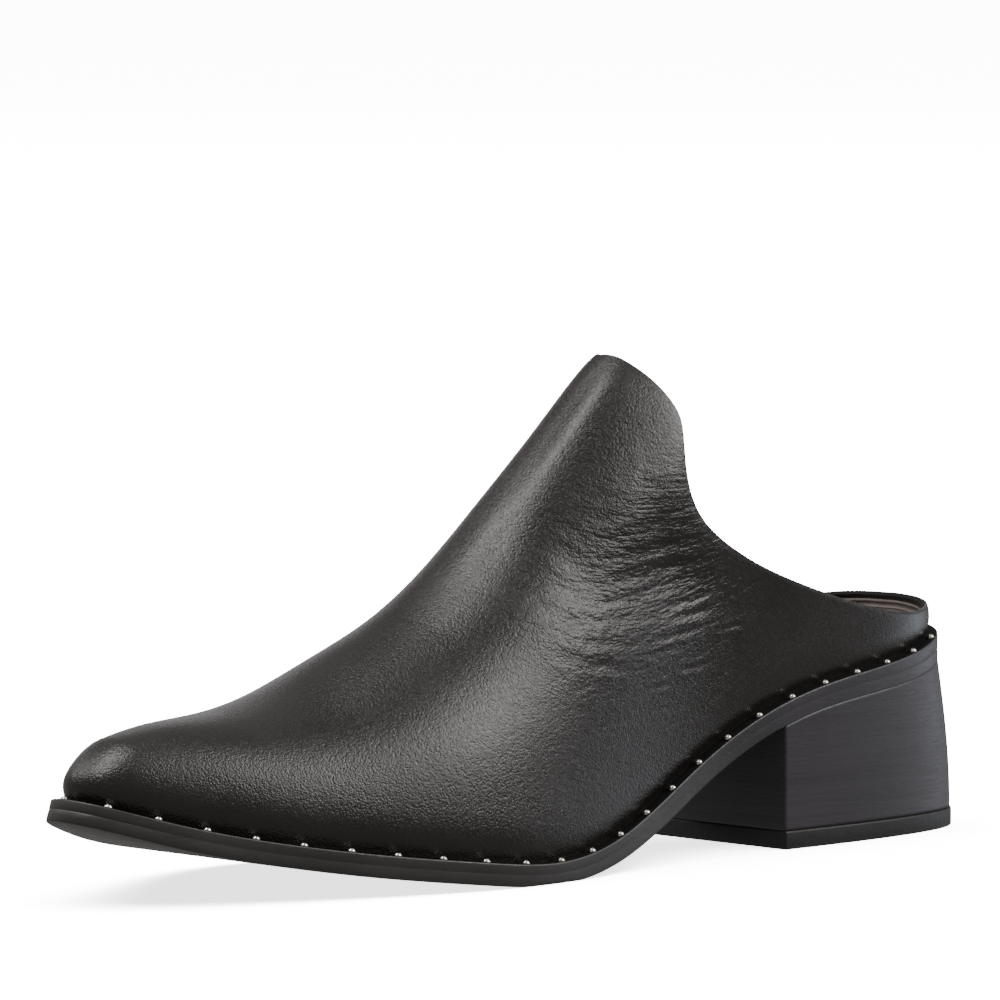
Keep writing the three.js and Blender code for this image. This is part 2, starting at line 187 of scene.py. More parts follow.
# lower edge of the upper: the outline moved in by the ledge, its back and its tip found on
# a fine scan of the turn
scan = np.arange(-30, 210.001, 0.05)
scanX = outlinePoint(scan, shoe["ledgeWidth"])[0]
heelTurn, toeTurn = scan[scanX.argmin()], scan[scanX.argmax()]
featherBack, featherTip = scanX.min(), scanX.max()


# Lower edge: 0 to 180 runs from its back to its tip on the outer side, and on round the
# inner side to 360
def featherPoint(turn):
    place = np.where(turn <= 180, heelTurn + (toeTurn - heelTurn) * turn / 180,
                     toeTurn + (360 + heelTurn - toeTurn) * (turn - 180) / 180)
    return outlinePoint(place, shoe["ledgeWidth"])


# angle whose cosine falls evenly from the back of the lower edge to its tip
def rollOf(x):
    share = np.clip((x - featherBack) / (featherTip - featherBack), 0, 1)
    return np.arccos(1 - 2 * share)


fineTurn = np.linspace(0, 180, 1441)
outerEdge, innerEdge = featherPoint(fineTurn), featherPoint(360 - fineTurn)
outerRoll = np.maximum.accumulate(rollOf(outerEdge[0]))
innerRoll = np.maximum.accumulate(rollOf(innerEdge[0]))


# half width of the lower edge at x, read by that angle because it closes steeply at its ends
def featherAcross(x, side):
    roll = rollOf(x)
    outer = np.interp(roll, outerRoll, outerEdge[1])
    inner = np.interp(roll, innerRoll, innerEdge[1])
    return np.where(side > 0, outer, inner)


tipAcross = float(featherPoint(np.array(180.0))[1])
along = lastRows[:, 0] * length
ridgeAt = cubicCurve(along, lastRows[:, 1] * shoe["instepHeight"])
shiftAt = cubicCurve(along, -lastRows[:, 2] * shoe["ballHalf"])
crownAt = cubicCurve(along, lastRows[:, 3])
wallAt = cubicCurve(along, lastRows[:, 4])
tipBlend = 0.165  # share of the length over which the ridge swings to the tip


# Last: each section is a superellipse over the lower edge, with its own powers across and
# up, and its height goes down to nothing on a quarter circle at the tip
def lastPoint(x, turnRound, side, base):
    cap = np.clip((featherTip - x) / shoe["toeCapLength"], 0, 1)
    height = ridgeAt(x) * np.sqrt(np.maximum(0, 1 - (1 - cap) ** 2))
    blend = smooth((featherTip - x) / (tipBlend * length))
    middle = shiftAt(x) * blend + tipAcross * (1 - blend)
    angle = np.radians(turnRound)
    out = np.abs(np.cos(angle)) ** (2 / crownAt(x))
    up = np.abs(np.sin(angle)) ** (2 / wallAt(x))
    across = middle + (featherAcross(x, side) - middle) * out
    return np.stack([x, across, topOfSole(x) + base + height * up], -1)


lineAlong = cubicCurve(topLineRows[:, 0], topLineRows[:, 1] * length)
lineOuter = cubicCurve(topLineRows[:, 0], topLineRows[:, 2])
lineInner = cubicCurve(topLineRows[:, 0], topLineRows[:, 3])

# Ribs of the upper: turn in degrees where even ones end and how long they blend, power that
# crowds their rows to the lower edge at the back, and where it eases to one
ribShape = {"evenEnd": 35, "evenBlend": 60, "crowd": 1.35, "ease": 0.35,
            "easeFrom": 100, "easeOver": 80, "lowWall": 0.6}
tipTurn = 179.99  # from here on a rib counts as the one at the tip


# Upper: ribs from the lower edge to the top line, straight in the half plane of root
# distance from the toe and angle round the section, blended evenly at the back
def upperSkin(turn, shares, base):
    look = ribShape
    turn = turn[:, None]
    side = np.where(turn <= 180, 1, -1)
    half = np.where(turn <= 180, turn, 360 - turn)
    footX, _, nx, ny = featherPoint(turn)
    footReach = np.sqrt(np.maximum(0, featherTip - footX))
    lineReach = np.sqrt(featherTip - lineAlong(half))
    lineAngle = np.where(side > 0, lineOuter(half), lineInner(half))
    lineAngle = np.where(half > tipTurn, 90, lineAngle)
    even = 1 - fade(half, look["evenEnd"], look["evenBlend"])
    ease = fade(half, look["easeFrom"], look["easeOver"])
    share = shares[None, :] ** (look["crowd"] - look["ease"] * ease)
    forward = footReach + (lineReach * np.cos(np.radians(lineAngle)) - footReach) * share
    upward = lineReach * np.sin(np.radians(lineAngle)) * share
    evenReach = footReach + (lineReach - footReach) * share
    reach = even * evenReach + (1 - even) * np.hypot(forward, upward)
    straightAngle = np.degrees(np.arctan2(upward, forward))
    angle = even * lineAngle * share + (1 - even) * straightAngle
    angle = np.where((half > tipTurn) & (share > 0), 90, angle)
    points = lastPoint(featherTip - reach**2, angle, side + 0 * share, base)
    # swell: rises and fades over the lower wall, along the outline's own normal
    rise = points[:, :, 2] - topOfSole(points[:, :, 0]) - base
    wallHeight = points[:, -1:, 2] - points[:, :1, 2]
    high = np.maximum(0, rise) / np.minimum(shoe["featherRise"], look["lowWall"] * wallHeight)
    swell = shoe["featherBulge"] * (high * np.exp(1 - high)) ** 2
    points[:, :, 0] += nx * swell
    points[:, :, 1] += ny * swell
    return points


# Normals of a grid that closes round its ribs: cross product of the steps along and across
def gridNormals(points):
    ahead = np.roll(points, -1, 0) - np.roll(points, 1, 0)
    rise = np.empty_like(points)
    rise[:, 1:-1] = points[:, 2:] - points[:, :-2]
    rise[:, 0], rise[:, -1] = points[:, 1] - points[:, 0], points[:, -1] - points[:, -2]
    normal = np.cross(rise, ahead)
    return normal / (np.linalg.norm(normal, axis=-1, keepdims=True) + 1e-12)


# the frame's own place for the shoe's zero point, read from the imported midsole, whose
# outline has this many points
cadSteps = 96
cadLoop = outlinePoint(np.arange(cadSteps) * 360 / cadSteps, 0)
midsoleLow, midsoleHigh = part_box("midsole")
offsetX = midsoleLow.x * 1000 - cadLoop[0].min()
offsetY = midsoleHigh.y * 1000 - cadLoop[1].max()
print("shoe frame offset in mm", round(offsetX, 3), round(offsetY, 3))


# from the shoe in mm to the frame in metres
def toFrame(points):
    return (np.asarray(points, float) + np.array([offsetX, offsetY, 0])) / 1000


# one piece: its mesh in the frame and the solids that it replaces; the material slot name is not
# used
def makePiece(name, points, faces, replaced, slotName):
    mesh = bpy.data.meshes.new(name)
    mesh.from_pydata(toFrame(points).tolist(), [], faces)
    mesh.validate()
    mesh.update()
    piece = bpy.data.objects.new(name, mesh)
    bpy.context.collection.objects.link(piece)
    mesh.polygons.foreach_set("use_smooth", np.full(len(mesh.polygons), True))
    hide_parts(*replaced)
    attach(piece, "root")
    triangles = len(mesh.loops) - 2 * len(mesh.polygons)
    print("made", name, len(mesh.vertices), "points", triangles, "triangles")
    return piece


# Closed forms from stacked loops: quads between the loops, and flat ends of quads that join
# the two sides of a loop, with a triangle where the sides meet
def ringFaces(levels, n):
    level, k = np.meshgrid(np.arange(levels - 1), np.arange(n), indexing="ij")
    a = level * n + k
    b = level * n + (k + 1) % n
    return np.stack([a, a + n, b + n, b], -1).reshape(-1, 4).tolist()


def capFaces(first, n, upwards):
    order = -1 if upwards else 1
    k = np.arange(1, (n - 1) // 2)
    quads = np.stack([k, k + 1, n - k - 1, n - k], -1)
    ends = [(0, 1, n - 1)] + ([(n // 2 - 1, n // 2, n // 2 + 1)] if n % 2 == 0 else [])
    return ((first + quads)[:, ::order].tolist()
            + (first + np.array(ends))[:, ::order].tolist())


def stackedForm(loops):
    n, last = len(loops[0]), len(loops) - 1
    faces = ringFaces(len(loops), n) + capFaces(0, n, False) + capFaces(last * n, n, True)
    return np.concatenate(loops), faces


# Shader helpers

# a socket takes a link or a plain value
def feed(tree, slot, item):
    if isinstance(item, Value):
        tree.links.new(item.socket, slot)
    else:
        slot.default_value = item


# One socket: an expression on it adds its Math nodes
class Value:
    def __init__(self, tree, socket):
        self.tree, self.socket = tree, socket

    def math(self, operation, *items):
        node = self.tree.nodes.new("ShaderNodeMath")
        node.operation = operation
        for slot, item in zip(node.inputs, items):
            feed(self.tree, slot, item)
        return Value(self.tree, node.outputs[0])

    def __add__(self, other):
        return self.math("ADD", self, other)

    def __sub__(self, other):
        return self.math("SUBTRACT", self, other)

    def __rsub__(self, other):
        return self.math("SUBTRACT", other, self)

    def __mul__(self, other):
        return self.math("MULTIPLY", self, other)

    def __truediv__(self, other):
        return self.math("DIVIDE", self, other)

    def __rtruediv__(self, other):
        return self.math("DIVIDE", other, self)

    __radd__ = __add__
    __rmul__ = __mul__

    # smooth step: c c (3 - 2 c), where c is the value held between 0 and 1
    def step(self):
        low = self.math("MAXIMUM", self, 0.0)
        c = self.math("MINIMUM", low, 1.0)
        return c * c * (3.0 - c * 2.0)

    # the same step, begun at one value and run over a length
    def fade(self, start, over):
        return ((self - start) / over).step()


# One material: its node method takes a type, its settings and what feeds its sockets
class Finish:
    def __init__(self, name):
        self.material = bpy.data.materials.new(name)
        self.material.use_nodes = True
        self.tree = self.material.node_tree
        self.shader = self.tree.nodes["Principled BSDF"]

    def node(self, kind, settings, values, output=0):
        node = self.tree.nodes.new(kind)
        for key, item in settings.items():
            if key == "stops":
                ramp = node.color_ramp
                ramp.elements[0].position, ramp.elements[0].color = item[0]
                ramp.elements[1].position, ramp.elements[1].color = item[1]
            else:
                setattr(node, key, item)
        for key, item in values.items():
            feed(self.tree, node.inputs[key], item)
        return Value(self.tree, node.outputs[output])

    def place(self):
        return self.node("ShaderNodeTexCoord", {}, {}, "Object")

    # x, y and z of the place, in mm
    def placeInMm(self):
        where = self.place()
        return [self.node("ShaderNodeSeparateXYZ", {}, {"Vector": where}, k) * 1000.0
                for k in range(3)]

    def stretched(self, vector, scale):
        return self.node("ShaderNodeMapping", {}, {"Vector": vector, "Scale": scale})

    def noise(self, vector, scale, detail, rough):
        values = {"Vector": vector, "Scale": scale, "Detail": detail, "Roughness": rough}
        return self.node("ShaderNodeTexNoise", {}, values)

    def cells(self, vector, scale):
        values = {"Vector": vector, "Scale": scale}
        return self.node("ShaderNodeTexVoronoi", {"feature": "F1"}, values)

    def softCells(self, vector, scale, smoothness):
        values = {"Vector": vector, "Scale": scale, "Smoothness": smoothness}
        return self.node("ShaderNodeTexVoronoi", {"feature": "SMOOTH_F1"}, values)

    # colour that runs from dark to light over the middle of a noise
    def tint(self, factor, dark, light):
        stops = ((0.3, dark), (0.7, light))
        return self.node("ShaderNodeValToRGB", {"stops": stops}, {"Fac": factor})

    def mix(self, factor, first, second):
        values = {0: factor, 6: first, 7: second}  # the sockets of a colour mix
        return self.node("ShaderNodeMix", {"data_type": "RGBA"}, values, 2)

    def bump(self, height, strength, distance, under=None):
        values = {"Height": height, "Strength": strength, "Distance": distance}
        if under is not None:
            values["Normal"] = under
        return self.node("ShaderNodeBump", {}, values)

    def set(self, **sockets):
        for key, item in sockets.items():
            feed(self.tree, self.shader.inputs[key.replace("_", " ")], item)
        return self.material


# a grey, with red raised and blue lowered by the same share
def grey(v, warm=0.0):
    return (v * (1 + warm), v, v * (1 - warm), 1)


# The upper

upperLook = {
    "ribs": 420,
    "rows": 150,
    "rimSteps": 8,
    "liningRows": 34,
    "base": 0.05,  # height over the ledge, mm
    "turnIn": 1.1,  # black leather turned in over the top line, mm
    "seams": ((1.9, 0.35, 0.30), (4.0, 0.40, 0.25)),  # below the top line, half width, height
    "backSeam": {"turn": 334.0, "half": 0.9, "height": 0.35, "fadeIn": 1.5},
}
shoulderLook = {
    "ridgeLine": ((106.6, 118.4), (110.5, 114.3), (115.0, 110.4), (119.2, 106.3),
                  (123.3, 102.2), (130.9, 94.0), (140.1, 84.2), (147.0, 76.7), (158.0, 64.0)),
    "ridge": 1.0, "ridgeWidth": 7.0, "ridgeOffset": 1.6,
    "ridgeStart": (-3, 8), "ridgeEnd": (38, 26),  # each fade: where it begins, how long it is
    "hollowLine": ((84, 73), (98, 72), (112, 70), (122, 70.5), (131, 70.5), (139, 67),
                   (146, 61), (152, 53)),
    "hollow": 1.9, "hollowAbove": 20.0, "hollowBelow": 10.0,
    "hollowStart": (0, 24), "hollowEnd": (44, 28),
    "hollowFromRim": 16, "fromRim": 5, "fromMiddle": (2, 6), "fromEdge": 12,
}
rimLook = {
    "rise": 0.5, "flatness": 0.65,  # height of the arc between the skins, power of its section
    "roll": 0.16, "rollOver": 1.3,  # drop of the outer skin at its rim, and over what height
    "tab": 0.75, "far": 1.2,  # rise of the whole rim at the tab and on the far side
    "nearFade": (100, 40), "farFade": (62, 22), "tabFade": (110, 50),  # in degrees of turn
    "outerRows": 13, "innerShares": (1, 0.75, 0.4, 0.1), "sunkShares": (1, 0.7, 0.3),
}

# Creases, in mm along the sole and above the floor on the outer side: one end, the other
# end, bow of the middle, half width and depth
creaseRows = np.array([
    # across the side of the tab
    (121.5, 78.9, 100.0, 81.2, 0.0, 1.0, 0.26),
    (126.6, 74.4, 91.7, 77.1, 0.7, 1.1, 0.32),
    (128.0, 76.8, 106.0, 78.2, 0.2, 0.9, 0.24),
    (105.7, 79.8, 94.6, 79.4, -0.4, 0.8, 0.24),
    (106.8, 82.3, 98.0, 82.9, -0.3, 0.7, 0.22),
    (105.2, 84.6, 96.9, 84.2, 0.2, 0.7, 0.24),
    (126.3, 83.4, 110.0, 84.0, -0.3, 1.0, 0.20),
    (112.5, 90.9, 101.0, 89.2, 0.3, 1.0, 0.22),
    (116.0, 95.4, 107.2, 89.6, 0.4, 1.1, 0.18),
    # under the scoop
    (124.7, 69.1, 87.9, 73.4, 1.1, 1.1, 0.30),
    (130.6, 63.7, 104.0, 66.4, 0.6, 1.1, 0.24),
    (118.0, 66.4, 94.0, 68.9, 0.6, 0.9, 0.20),
    (109.0, 61.4, 91.5, 64.1, 0.5, 0.8, 0.24),
    (107.3, 58.2, 89.5, 60.9, 0.4, 0.8, 0.24),
    (111.7, 53.6, 95.0, 56.3, 0.3, 0.8, 0.22),
    (117.4, 50.0, 104.3, 52.5, 0.4, 0.8, 0.20),
    (106.2, 45.9, 93.2, 48.0, 0.5, 0.7, 0.16),
    (117.1, 42.2, 106.9, 43.5, 0.1, 0.7, 0.14),
    (91.5, 54.6, 81.1, 55.5, -0.2, 0.6, 0.14),
    (86.4, 62.6, 76.6, 67.4, 0.4, 0.6, 0.16),
    # forward of the tab, across the bend of the foot
    (138.6, 76.9, 128.3, 71.2, 0.5, 1.0, 0.20),
    (148.8, 64.3, 139.5, 61.2, 0.6, 0.9, 0.16),
    (142.2, 60.2, 116.9, 59.2, 0.5, 1.0, 0.22),
    (138.2, 54.2, 118.0, 52.6, -0.1, 0.9, 0.20),
    (147.7, 52.6, 121.2, 47.9, 1.6, 1.1, 0.18),
])
creaseLook = {
    "steps": 16, "ridge": 0.55, "ridgeAway": 1.9, "ridgeWidth": 1.1,  # widths in half widths
    "fadeIn": 0.12, "startShare": 0.35, "fadeOut": 0.45,
    # the inner side's creases lie a little off the outer ones, each by its own shift
    "farShift": 1.5, "farTurn": 2.1, "farDrop": 0.5, "farRise": 0.3,
    "fromCrown": (5, 8), "fromEdge": (4, 8),
}


# Distance from a bowed line, a curve of the second order cut into short straight pieces, and
# the share of the way along it
def bowDistance(px, pz, x0, z0, x1, z1, bow):
    steps = creaseLook["steps"]
    t = np.linspace(0, 1, steps + 1)
    size = math.hypot(x1 - x0, z1 - z0)
    cx = (x0 + x1) / 2 - (z1 - z0) / size * bow * 2
    cz = (z0 + z1) / 2 + (x1 - x0) / size * bow * 2
    bx = (1 - t) ** 2 * x0 + 2 * t * (1 - t) * cx + t**2 * x1
    bz = (1 - t) ** 2 * z0 + 2 * t * (1 - t) * cz + t**2 * z1
    best, share = np.full(px.shape, np.inf), np.zeros(px.shape)
    for k in range(steps):
        ex, ez = bx[k + 1] - bx[k], bz[k + 1] - bz[k]
        s = np.clip(((px - bx[k]) * ex + (pz - bz[k]) * ez) / (ex * ex + ez * ez), 0, 1)
        away = np.hypot(px - bx[k] - s * ex, pz - bz[k] - s * ez)
        nearer = away < best
        best = np.where(nearer, away, best)
        share = np.where(nearer, (k + s) / steps, share)
    return best, share


# Crease: a trough of Gaussian section with a soft ridge on either side, fading at its ends
def creaseHeight(px, pz, side):
    look = creaseLook
    height = np.zeros(px.shape)
    for number, (x0, z0, x1, z1, bow, width, depth) in enumerate(creaseRows):
        shift = 0 if side > 0 else look["farShift"] * math.sin(look["farTurn"] * number)
        away, share = bowDistance(px, pz, x0 + shift, z0 - shift * look["farDrop"],
                                  x1 - shift, z1 + shift * look["farRise"], bow)
        start = smooth(share / look["fadeIn"] + look["startShare"])
        end = smooth((1 - share) / look["fadeOut"])
        trough = np.exp(-((away / width) ** 2))
        ridgeOffset = (away - look["ridgeAway"] * width) / (look["ridgeWidth"] * width)
        ridge = np.exp(-(ridgeOffset**2))
        height += depth * (start * end) * (look["ridge"] * ridge - trough)
    return height


# Creases of both sides; they stop at the crown of the tab and before the lower edge
def creaseLift(outer, rise, turn):
    x, y, z = outer[:, :, 0], outer[:, :, 1], outer[:, :, 2]
    onOuter = (turn <= 180)[:, None]
    lift = np.where(onOuter, creaseHeight(x, z, 1), creaseHeight(x, z, -1))
    crown = fade(np.abs(y - shiftAt(x)), *creaseLook["fromCrown"])
    return lift * crown * fade(rise, *creaseLook["fromEdge"])


# Signed distance from a given line in the side view, positive to its right when it
# runs from the first point to the last, and the run along it
def fromLine(x, z, line):
    leg = np.hypot(*np.diff(line, axis=0).T)
    start = np.r_[0, np.cumsum(leg)]
    best, offset, run = np.full(x.shape, np.inf), np.zeros(x.shape), np.zeros(x.shape)
    for k, (x0, z0) in enumerate(line[:-1]):
        ex, ez = (line[k + 1] - line[k]) / leg[k]
        share = np.clip((x - x0) * ex + (z - z0) * ez, 0, leg[k])
        away = np.hypot(x - x0 - share * ex, z - z0 - share * ez)
        side = np.sign(ez * (x - x0) - ex * (z - z0))
        nearer = away < best
        best = np.where(nearer, away, best)
        offset = np.where(nearer, side * away, offset)
        run = np.where(nearer, start[k] + share, run)
    return offset, run


# Shoulder of the tab on the outer side: a soft ridge along one line and, where the foot
# bends, a broad shallow hollow along another, so that the side of the tab stands flatter
def shoulderHeight(points):
    look = shoulderLook
    x, y, z = points[:, :, 0], points[:, :, 1], points[:, :, 2]
    away, run = fromLine(x, z, np.array(look["ridgeLine"]))
    ridge = look["ridge"] * np.exp(-(((away + look["ridgeOffset"]) / look["ridgeWidth"]) ** 2))
    ridge = ridge * fade(run, *look["ridgeStart"]) * (1 - fade(run, *look["ridgeEnd"]))
    away, run = fromLine(x, z, np.array(look["hollowLine"]))
    width = np.where(away < 0, look["hollowAbove"], look["hollowBelow"])
    hollow = look["hollow"] * np.exp(-((away / width) ** 2))
    hollow = hollow * fade(run, *look["hollowStart"]) * (1 - fade(run, *look["hollowEnd"]))
    toRim = np.linalg.norm(points - points[:, -1:], axis=-1)
    height = ridge - hollow * smooth(toRim / look["hollowFromRim"])
    height = height * smooth(toRim / look["fromRim"]) * fade(y, *look["fromMiddle"])
    return height * smooth((z - topOfSole(x)) / look["fromEdge"])


# Inner skin, from the top line down: the smooth outer one moved in by the wall, following
# the shoulder, with two low seams under the top line and an upright one at the back
def liningSkin(turn):
    look = upperLook
    shares = np.linspace(0, 1, look["liningRows"] + 1)
    skin = upperSkin(turn, shares, look["base"])
    normal = gridNormals(skin)
    _, _, nx, ny = featherPoint(turn)
    normal[:, 0] = np.stack([nx, ny, 0 * nx], -1)
    inner = skin - normal * (shoe["wall"] - shoulderHeight(skin))[:, :, None]
    inner[:, 0, 2] = topOfSole(inner[:, 0, 0]) + look["base"]
    below = np.linalg.norm(skin - skin[:, -1:], axis=-1)
    level = sum(high * np.exp(-(((below - place) / half) ** 2))
                for place, half, high in look["seams"])
    seam = look["backSeam"]
    upright = seam["height"] * np.exp(-(((turn[:, None] - seam["turn"]) / seam["half"]) ** 2))
    seams = np.maximum(level * smooth(below), upright * smooth(below / seam["fadeIn"]))
    inner -= normal * seams[:, :, None]
    return inner[:, ::-1], below[:, ::-1]


# Rim: draws both skins up in place at the tab and on the far side, and joins them by a low
# flattened arc; also gives how far the outer skin rolls over at its edge
def joinRim(outer, normal, inner, turn):
    look = rimLook
    half = np.where(turn <= 180, turn, 360 - turn)
    up = outer[:, -1] - outer[:, -3]
    up /= np.linalg.norm(up, axis=-1, keepdims=True)
    near = look["tab"] * fade(half, *look["nearFade"])
    far = look["far"] * fade(half, *look["farFade"])
    far = far - (look["far"] - look["tab"]) * fade(half, *look["tabFade"])
    raised = (up * np.where(turn <= 180, near, far)[:, None])[:, None]
    rows = look["outerRows"]
    grow = smooth(np.arange(1, rows + 1) / rows)
    outer[:, -rows:] += raised * grow[None, :, None]
    innerShares, sunkShares = np.array(look["innerShares"]), np.array(look["sunkShares"])
    inner[:, :len(innerShares)] += raised * innerShares[None, :, None]
    inner[:, :len(sunkShares)] -= up[:, None] * look["rise"] * sunkShares[None, :, None]
    toRim = np.linalg.norm(outer - outer[:, -1:], axis=-1)
    roll = look["roll"] * np.maximum(0, 1 - toRim / look["rollOver"]) ** 2
    edge = outer[:, -1] - normal[:, -1] * look["roll"]
    middle, reach = (edge + inner[:, 0]) / 2, (edge - inner[:, 0]) / 2
    arc = np.linspace(0, math.pi, upperLook["rimSteps"] + 2)[1:-1]
    out = np.sign(np.cos(arc)) * np.abs(np.cos(arc)) ** look["flatness"]
    high = np.sin(arc) ** look["flatness"]
    rim = (middle[:, None] + reach[:, None] * out[None, :, None]
           + up[:, None] * look["rise"] * high[None, :, None])
    return rim, roll


# Fold coordinates in units of 100 mm, across the run of the wrinkles and along it, and how
# strongly the fine wrinkles show: strength, middle and half width in x, then in z, in mm
foldLook = {
    "middle": 110, "tilt": 0.10, "bow": 0.006, "spread": 0.008, "level": 70, "unit": 100,
    "wrinkled": ((1.15, 108, 24, 68, 24), (0.45, 138, 24, 55, 22)),
}


# across is the height, bowed with the way forward and spread above and below the bend
def layFolds(piece, points):
    look = foldLook
    x, z = points[:, 0], points[:, 2]
    ahead = x - look["middle"]
    bowed = look["tilt"] * ahead - look["bow"] * ahead**2
    across = z + bowed - look["spread"] * (z - look["level"]) * ahead
    fold = np.stack([across, x], -1) / look["unit"]
    layer = piece.data.uv_layers.new(name="folds")
    corners = np.empty(len(piece.data.loops), int)
    piece.data.loops.foreach_get("vertex_index", corners)
    layer.data.foreach_set("uv", fold[corners].astype(np.float32).ravel())
    wrinkle = sum(strength * np.exp(-(((x - mx) / wx) ** 2) - (((z - mz) / wz) ** 2))
                  for strength, mx, wx, mz, wz in look["wrinkled"])
    mask = piece.data.attributes.new("wrinkle", "FLOAT", "POINT")
    mask.data.foreach_set("value", np.clip(wrinkle, 0, 1).astype(np.float32))


# Upper: outer skin, rim and inner skin in one grid that closes round both ways
def buildUpper():
    look = upperLook
    turn = np.arange(look["ribs"]) * 360 / look["ribs"]
    outer = upperSkin(turn, np.linspace(0, 1, look["rows"] + 1), look["base"])
    normal = gridNormals(outer)
    lift = creaseLift(outer, outer[:, :, 2] - topOfSole(outer[:, :, 0]), turn)
    inner, below = liningSkin(turn)
    rim, roll = joinRim(outer, normal, inner, turn)
    lift = lift - roll + shoulderHeight(outer)
    grid = np.concatenate([outer + normal * lift[:, :, None], rim, inner], axis=1)
    ribs, rows = grid.shape[:2]
    rib, row = np.meshgrid(np.arange(ribs), np.arange(rows), indexing="ij")
    here, ahead, nextRow = rib * rows, (rib + 1) % ribs * rows, (row + 1) % rows
    faces = np.stack([here + row, here + nextRow, ahead + nextRow, ahead + row], -1)
    points = grid.reshape(-1, 3)
    piece = makePiece("upperShell", points, faces.reshape(-1, 4).tolist(), ["upper"],
                      "upper_leather")
    layFolds(piece, points)
    # leather, then the cut edge on the inner half of the rim, then the lining below the turn-in
    firstInner = look["rows"] + 1 + look["rimSteps"]
    cutEdge = (row >= look["rows"] + look["rimSteps"] // 2) & (row < firstInner)
    lining = np.zeros((ribs, rows), bool)
    lining[:, firstInner:] = below >= look["turnIn"]
    slots = np.where(cutEdge, 2, lining).astype(np.int32)
    piece.data.polygons.foreach_set("material_index", slots.ravel())
    return piece


upper = buildUpper()

# The sole band

soleLook = {
    "steps": 480,
    "grooveDepth": 0.10,
    # depth, 0 to 1 through the midsole and on to 2 through the outsole; inset in mm; groove
    "section": ((0, 0.5, 0), (0.012, 0.22, 0), (0.06, 0.05, 0), (0.16, 0.0, 0), (0.5, -0.03, 0),
                (0.9, 0, 0), (0.97, 0.04, 0.5), (1.0, 0.05, 1), (1.03, 0.04, 0.5), (1.1, 0, 0),
                (1.5, -0.03, 0), (1.86, 0.0, 0), (1.95, 0.12, 0), (2.0, 0.45, 0)),
    "lowCorner": 1.8,
    "squareHeel": (0.262, 0.02),  # over the heel the lower corner stays square
    "grooveToe": (0.93, 0.06), "grooveHeel": (0.02, 0.1),
}


# Sole band: the outline carried down through both layers, with rounded edges and a fine
# groove at the joint that shows at the toe and round the back
def buildSole():
    look = soleLook
    n = look["steps"]
    x, y, nx, ny = outlinePoint(np.arange(n) * 360 / n, 0)
    free = fade(x / length, *look["squareHeel"])
    show = 1 + fade(x / length, *look["grooveToe"]) - fade(x / length, *look["grooveHeel"])
    lowerThick = shoe["gap"] + shoe["outsoleThick"]
    loops = []
    for depth, inset, groove in look["section"][::-1]:
        corner = free if depth > look["lowCorner"] else 1
        inward = inset * corner + groove * look["grooveDepth"] * show
        levelX, levelY = x - nx * inward, y - ny * inward
        total = midsoleDepth(levelX) * min(depth, 1) + max(0, depth - 1) * lowerThick
        lowX, lowZ = underSole(levelX, total)
        loops.append(np.stack([lowX, levelY, np.maximum(0, lowZ)], -1))
    piece = makePiece("soleBand", *stackedForm(loops), ["midsole", "outsole"], "sole_leather")
    # faces from the last loop but one upwards take the ledge's material, the band's black darkened
    # further as painted shade
    mesh = piece.data
    corners, starts = np.empty(len(mesh.loops), int), np.empty(len(mesh.polygons), int)
    mesh.loops.foreach_get("vertex_index", corners)
    mesh.polygons.foreach_get("loop_start", starts)
    top = np.minimum.reduceat(corners, starts) >= (len(loops) - 2) * n
    mesh.polygons.foreach_set("material_index", top.astype(np.int32))
    return piece


sole = buildSole()

# The insole

insoleLook = {"steps": 200, "thick": 1.6, "fit": 0.3, "dish": 0.7, "over": 0.05,
              "edge": 0.5, "edgeShare": 0.05, "rings": (0.985, 0.95, 0.85, 0.7, 0.5, 0.25)}


# Insole: the outline inside the upper's wall, drawn in to the middle line in rings that dip
def buildInsole():
    look = insoleLook
    n = look["steps"]
    inset = shoe["ledgeWidth"] + shoe["wall"] + look["fit"]
    x, y, _, _ = outlinePoint(np.arange(n) * 360 / n, inset)
    middle = (y + y[(-np.arange(n)) % n]) / 2
    loops = [np.stack([x, y, topOfSole(x) + look["over"]], -1),
             np.stack([x, y, topOfSole(x) + look["thick"] - look["edge"]], -1)]
    for share in look["rings"]:
        soft = look["edge"] * (1 - min(1, (1 - share) / look["edgeShare"])) ** 2
        height = look["thick"] - soft - look["dish"] * (1 - share**2)
        loops.append(np.stack([x, middle + (y - middle) * share, topOfSole(x) + height], -1))
    return makePiece("insoleLeather", *stackedForm(loops), ["insole"], "insole_leather")


insole = buildInsole()

# The heel and its lift

heelLook = {"breastShare": 0.266, "flare": 5.2, "corner": 0.6, "steps": 96, "crowd": 1.6,
            "levels": 46, "joint": 0.06, "edge": 0.3, "edgeRise": 0.12, "narrowest": 5}
liftLook = {"thick": 4.5, "proud": 0.4,
            "lower": ((0, 0.35), (0.12, 0.1), (0.4, 0)),  # height from below, inset
            "upper": ((0.5, 0), (0.15, 0.08), (0, 0.3))}  # depth from above, inset


